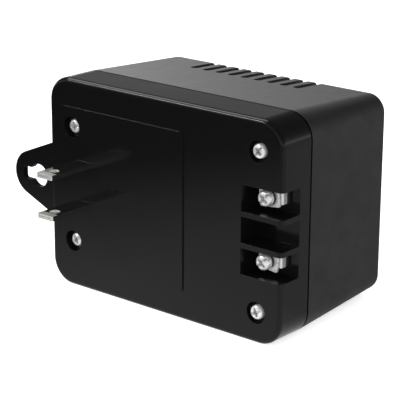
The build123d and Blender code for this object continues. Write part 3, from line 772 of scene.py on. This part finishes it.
class TRANSFORMER_OT_screws(bpy.types.Operator):
    """Makes the four case screws and the two terminal screws"""
    bl_idname = "transformer.screws"
    bl_label = "Screws"

    def execute(self, context):
        settings = context.scene.transformer_screws
        zinc = plated_metal(
            "bright_zinc_plate", settings.plate_colour, (0.2, 0.32), (0.8 * MM, 0.002 * MM), 0.06 * MM,
            settings.mirror_share, 0.7 * MM)
        case_head = {"radius": CASE_HEAD_RADIUS, "height": settings.head_height}
        terminal_head = {"radius": TERMINAL_HEAD_RADIUS, "height": settings.terminal_head_height}
        thread = {
            "pitch": settings.pitch, "radius": SHANK_RADIUS, "depth": 0.28 * MM, "point": 1.6 * MM,
        }
        cross = {
            "wing": settings.wing, "span": 1.55 * MM, "depth": 1.1 * MM, "soft": 0.07 * MM,
            "slot": 0.7 * MM, "slot_reach": 1.7 * MM, "slot_depth": 0.4 * MM,
        }
        proud = settings.case_lift
        for place, turn, lift in (
            ("upper_left", 12, 0.0), ("lower_left", 35, 0.0),
            ("upper_right", 48, proud), ("lower_right", 24, proud),
        ):
            node = f"case_screw_{place}"
            recess = {**cross, "turn": math.radians(turn)}
            screw = headed_screw(f"{node}_detailed", node, case_head, recess, thread, lift)
            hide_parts(node)
            dress(screw, zinc)
        slotted = {
            **cross,
            "slot_reach": 3 * MM, "slot_depth": 1.0 * MM, "slot": 0.8 * MM, "span": 1.9 * MM,
        }
        fine = {"pitch": 0.6 * MM, "radius": SHANK_RADIUS, "depth": 0.2 * MM, "point": 0.8 * MM}
        for place, turn, lift in (("upper", 50, settings.upper_lift), ("lower", 47, settings.lower_lift)):
            node = f"terminal_screw_{place}"
            recess = {**slotted, "turn": math.radians(turn)}
            screw = headed_screw(f"{node}_detailed", node, terminal_head, recess, fine, lift)
            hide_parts(node)
            dress(screw, zinc)
        return {"FINISHED"}


class TRANSFORMER_OT_terminals(bpy.types.Operator):
    """Makes the clamp washers and plates the terminal plates and blades"""
    bl_idname = "transformer.terminals"
    bl_label = "Terminals and blades"

    def execute(self, context):
        settings = context.scene.transformer_terminals
        screws = context.scene.transformer_screws
        zinc = plated_metal(
            "zinc_plated_washer", screws.plate_colour, (0.24, 0.34), (0.9 * MM, 0.004 * MM), 0.05 * MM,
            screws.mirror_share, 1.3 * MM)
        tin = plated_metal(
            "tin_plated_brass", screws.plate_colour, (0.26, 0.36), (1.1 * MM, 0.002 * MM), 0.06 * MM,
            screws.mirror_share)
        nickel = plated_metal(
            "bright_nickel_plate", settings.nickel_colour, (0.05, 0.1), (1.2 * MM, 0.001 * MM),
            0.08 * MM, 1.0, scuff=BLADE_WEAR)
        for place, side in (("upper", 1), ("lower", -1)):
            node = f"clamp_washer_{place}"
            washer = square_washer(
                f"{node}_detailed", node, settings, side * settings.washer_turn, settings.washer_drop)
            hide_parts(node)
            dress(washer, zinc)
            dress_node(f"terminal_plate_{place}", tin)
            dress_node(f"blade_{place}", nickel)
        return {"FINISHED"}


class TRANSFORMER_OT_coil(bpy.types.Operator):
    """Makes the windings and their tape, and finishes the core and the bobbin"""
    bl_idname = "transformer.coil"
    bl_label = "Core and coil"

    def execute(self, context):
        settings = context.scene.transformer_coil
        steel = varnished_laminations("varnished_silicon_steel", linear("#5B6068"), settings.sheet_thickness)
        nylon = mottled_plain(
            "natural_nylon", linear("#E6DFC9"), linear("#D8CFB4"), 4 * MM, 0.45, 0.02 * MM)
        copper = enamelled_wire("enamelled_copper_wire", settings.copper_colour, linear("#8C4414"))
        film = polyester_wrap("polyester_tape", settings.tape_colour)
        dress_node("core_e_stack", steel)
        dress_node("core_i_stack", steel)
        dress_node("bobbin", nylon)
        primary = wound_ring(
            "primary_turns", "primary_winding", settings.primary_wire, PRIMARY_BUILD, PRIMARY_CORNER,
            128, 6)
        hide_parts("primary_winding")
        dress(primary, copper)
        secondary = wound_ring(
            "secondary_turns", "secondary_winding", settings.secondary_wire, SECONDARY_BUILD,
            SECONDARY_CORNER, 192, 8)
        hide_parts("secondary_winding")
        dress(secondary, copper)
        dress_node("winding_insulation", film)
        tape = tape_wrap("outer_tape_wrap", "outer_tape", TAPE_THICKNESS, TAPE_CORNER)
        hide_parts("outer_tape")
        dress(tape, film)
        return {"FINISHED"}


class TRANSFORMER_OT_wiring(bpy.types.Operator):
    """Finishes the retainer, the card, the pins, the fuse and the leads inside the case"""
    bl_idname = "transformer.wiring"
    bl_label = "Wiring"

    def execute(self, context):
        board = mottled_plain(
            "phenolic_board", linear("#7A4E2C"), linear("#5E3A20"), 1.5 * MM, 0.5, 0.02 * MM)
        paper = mottled_plain(
            "grey_fish_paper", linear("#8B8E88"), linear("#777A74"), 0.8 * MM, 0.75, 0.04 * MM)
        tinned = plated_metal(
            "tinned_copper", linear("#C9C8C4"), (0.3, 0.45), (0.6 * MM, 0.004 * MM), 0.05 * MM, 0.8)
        sleeve = mottled_plain(
            "black_pvc_sleeve", linear("#1B1B1C"), linear("#262627"), 3 * MM, 0.42, 0.03 * MM)
        dress_node("blade_retainer", board)
        dress_node("insulation_card", paper)
        dress_node("bobbin_pins", tinned)
        dress_node("thermal_fuse", tinned)
        for lead in ("primary_lead", "secondary_lead_upper", "secondary_lead_lower"):
            dress_node(lead, sleeve)
        return {"FINISHED"}


def studio_world():
    """White to the camera, an even tent to diffuse rays, and for glossy rays walls that dim upwards.

    Their glow is 0.05 / z^1.2 and at least 0.1, at the height z of a ray's direction, which
    is taken as 0.06 or more. So a grazed top shines and the rounded shoulders stay dark.
    """
    world = bpy.data.worlds.new("soft_studio")
    bpy.context.scene.world = world
    world.use_nodes = True
    tree = world.node_tree
    tree.nodes.clear()
    coords = add_node(tree, "ShaderNodeTexCoord")
    split = add_node(tree, "ShaderNodeSeparateXYZ", {"Vector": coords.outputs["Generated"]})
    height = add_node(tree, "ShaderNodeMath", {0: split.outputs["Z"], 1: WALL_LOWEST}, operation="MAXIMUM")
    falling = add_node(tree, "ShaderNodeMath", {0: height.outputs[0], 1: WALL_FALL}, operation="POWER")
    wall = add_node(tree, "ShaderNodeMath", {0: falling.outputs[0], 1: WALL_STRENGTH}, operation="MULTIPLY")
    dome = add_node(tree, "ShaderNodeMath", {0: wall.outputs[0], 1: DOME_LEAST}, operation="MAXIMUM")
    path = add_node(tree, "ShaderNodeLightPath")
    seen = add_node(
        tree, "ShaderNodeMath",
        {0: path.outputs["Is Camera Ray"], 1: path.outputs["Is Transmission Ray"]},
        operation="MAXIMUM",
    )
    tent = add_node(
        tree, "ShaderNodeMapRange",
        {"Value": path.outputs["Is Glossy Ray"], "To Min": TENT_STRENGTH, "To Max": dome.outputs[0]},
    )
    strength = add_node(tree, "ShaderNodeMath", {0: seen.outputs[0], 1: tent.outputs[0]}, operation="MAXIMUM")
    background = add_node(
        tree, "ShaderNodeBackground",
        {"Color": (1.0, 1.0, 1.0, 1.0), "Strength": strength.outputs[0]},
    )
    add_node(tree, "ShaderNodeOutputWorld", {"Surface": background.outputs[0]})


def pale_floor_paint(colour):
    """Matt pale paper that a soft shadow falls on; part of its white comes from Is Camera Ray.

    To a glossy ray it glows instead, by its place: bright at the object's foot, fading to
    0.28 in front, to 0.52 behind and to nothing on the left. So the satin face darkens
    upwards and to the left.
    """
    material, tree, coords = start_material("pale_floor_paper")
    path = add_node(tree, "ShaderNodeLightPath")
    seen = add_node(
        tree, "ShaderNodeMath",
        {0: path.outputs["Is Camera Ray"], 1: path.outputs["Is Transmission Ray"]},
        operation="MAXIMUM",
    )
    place = add_node(tree, "ShaderNodeSeparateXYZ", {"Vector": coords})
    front = add_node(
        tree, "ShaderNodeMapRange",
        {"Value": place.outputs["Y"], "From Min": -0.2, "From Max": 0.0, "To Min": 0.28, "To Max": 0.98},
    )
    behind = add_node(
        tree, "ShaderNodeMapRange",
        {"Value": place.outputs["Y"], "From Min": 0.0, "From Max": 0.03, "To Min": 1.0, "To Max": 0.52},
    )
    along = add_node(tree, "ShaderNodeMath", {0: front.outputs[0], 1: behind.outputs[0]}, operation="MINIMUM")
    left = add_node(
        tree, "ShaderNodeMapRange",
        {"Value": place.outputs["X"], "From Min": -0.2, "From Max": 0.0, "To Min": -1.2, "To Max": 0.0},
    )
    both = add_node(tree, "ShaderNodeMath", {0: along.outputs[0], 1: left.outputs[0]}, operation="ADD")
    mirrored = add_node(tree, "ShaderNodeMath", {0: both.outputs[0], 1: FLOOR_LEAST}, operation="MAXIMUM")
    glossy = add_node(
        tree, "ShaderNodeMath",
        {0: path.outputs["Is Glossy Ray"], 1: mirrored.outputs[0]},
        operation="MULTIPLY",
    )
    whitened = add_node(
        tree, "ShaderNodeMath", {0: seen.outputs[0], 1: FLOOR_WHITENING}, operation="MULTIPLY")
    strength = add_node(
        tree, "ShaderNodeMath", {0: whitened.outputs[0], 1: glossy.outputs[0]}, operation="ADD")
    matt = blend_colours(tree, path.outputs["Is Glossy Ray"], colour, (0.0, 0.0, 0.0, 1.0))
    paper = add_node(tree, "ShaderNodeBsdfDiffuse", {"Color": matt})
    glow = add_node(
        tree, "ShaderNodeEmission",
        {"Color": (1.0, 1.0, 1.0, 1.0), "Strength": strength.outputs[0]},
    )
    finish_material(tree, add_node(tree, "ShaderNodeAddShader", {0: paper.outputs[0], 1: glow.outputs[0]}))
    return material


def soft_box(name, location, size, radiance, mirrored=True):
    """Rectangular area lamp that looks at the object; its power is radiance * pi * area."""
    width, height = size
    lamp = bpy.data.lights.new(name, "AREA")
    lamp.shape = "RECTANGLE"
    lamp.size = width
    lamp.size_y = height
    lamp.energy = radiance * math.pi * width * height
    holder = bpy.data.objects.new(name, lamp)
    bpy.context.collection.objects.link(holder)
    aim = (Vector(LAMP_TARGET) - Vector(location)).to_track_quat("-Z", "Y")
    holder.matrix_world = Matrix.Translation(location) @ aim.to_matrix().to_4x4()
    holder.visible_glossy = mirrored
    return holder


class TRANSFORMER_OT_stage(bpy.types.Operator):
    """Lays the floor and sets the lamps, the world and the camera"""
    bl_idname = "transformer.stage"
    bl_label = "Stage"

    def execute(self, context):
        settings = context.scene.transformer_stage
        lowest = cad_box[0].z
        around = 96
        angle = np.linspace(0, math.tau, around, endpoint=False)[None, :]
        radius = np.array((0.4, 1.2, settings.floor_radius))[:, None]
        level = np.full((3, around), lowest)
        rings = np.stack((radius * np.cos(angle), radius * np.sin(angle), level), axis=-1).reshape(-1, 3)
        points = np.concatenate((rings, [(0, 0, lowest)]))
        pole = (np.arange(around), 3 * around)
        floor = make_piece("floor", points, grid_faces(3, around)[:, ::-1], (pole,))
        floor.data.materials.append(pale_floor_paint(settings.floor_colour))
        studio_world()
        soft_box("key_box", (-0.35, 0.0, 0.62), (0.42, 0.42), settings.key_radiance)
        rear_box = soft_box("rear_box", (-0.78, 0.40, 0.62), (0.36, 0.36), settings.rear_radiance)
        # The rear box is kept off the front shell, whose upper rounding it would burn white
        rear_only = bpy.data.collections.new("lit_by_rear_box")
        rear_only.objects.link(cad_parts["rear_shell"])
        rear_box.light_linking.receiver_collection = rear_only
        soft_box("front_strip", (-0.55, -0.63, 0.52), (0.34, 0.10), settings.strip_radiance)
        soft_box("fill_box", (0.64, -0.71, 0.32), (0.5, 0.5), settings.fill_radiance, mirrored=False)

        camera = bpy.data.cameras.new("photo_view")
        camera.sensor_width = 36.0
        camera.lens = settings.focal_length
        camera.clip_start = 0.01
        camera.clip_end = 20.0
        holder = bpy.data.objects.new("photo_view", camera)
        context.collection.objects.link(holder)
        holder.matrix_world = (
            Matrix.Translation(CAMERA_PLACE)
            @ Matrix.Rotation(settings.view_azimuth, 4, "Z")
            @ Matrix.Rotation(math.pi / 2 - settings.view_elevation, 4, "X")
            @ Matrix.Rotation(settings.view_roll, 4, "Z")
        )
        context.scene.camera = holder
        context.scene.view_settings.view_transform = "Standard"
        return {"FINISHED"}


class TRANSFORMER_PT_panel(bpy.types.Panel):
    """Lists the sizes, colours and pieces of the transformer"""
    bl_idname = "TRANSFORMER_PT_panel"
    bl_label = "Transformer"
    bl_space_type = "VIEW_3D"
    bl_region_type = "UI"
    bl_category = "Transformer"

    def draw(self, context):
        for name, group in SETTINGS.items():
            column = self.layout.column(align=True)
            column.label(text=name.replace("transformer_", "").capitalize())
            for setting in group.__annotations__:
                column.prop(getattr(context.scene, name), setting)
        for operator in OPERATORS:
            self.layout.operator(operator.bl_idname)


SETTINGS = {
    "transformer_shells": ShellSettings,
    "transformer_screws": ScrewSettings,
    "transformer_terminals": TerminalSettings,
    "transformer_coil": CoilSettings,
    "transformer_stage": StageSettings,
}
OPERATORS = (
    TRANSFORMER_OT_shells,
    TRANSFORMER_OT_screws,
    TRANSFORMER_OT_terminals,
    TRANSFORMER_OT_coil,
    TRANSFORMER_OT_wiring,
    TRANSFORMER_OT_stage,
)


def register():
    for cls in (*SETTINGS.values(), *OPERATORS, TRANSFORMER_PT_panel):
        bpy.utils.register_class(cls)
    for name, group in SETTINGS.items():
        setattr(bpy.types.Scene, name, PointerProperty(type=group))


def unregister():
    for name in SETTINGS:
        delattr(bpy.types.Scene, name)
    for cls in reversed((*SETTINGS.values(), *OPERATORS, TRANSFORMER_PT_panel)):
        bpy.utils.unregister_class(cls)


def main():
    """Registers the add-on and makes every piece."""
    register()
    bpy.ops.transformer.shells()
    bpy.ops.transformer.screws()
    bpy.ops.transformer.terminals()
    bpy.ops.transformer.coil()
    bpy.ops.transformer.wiring()
    bpy.ops.transformer.stage()


if __name__ == "__main__":
    main()
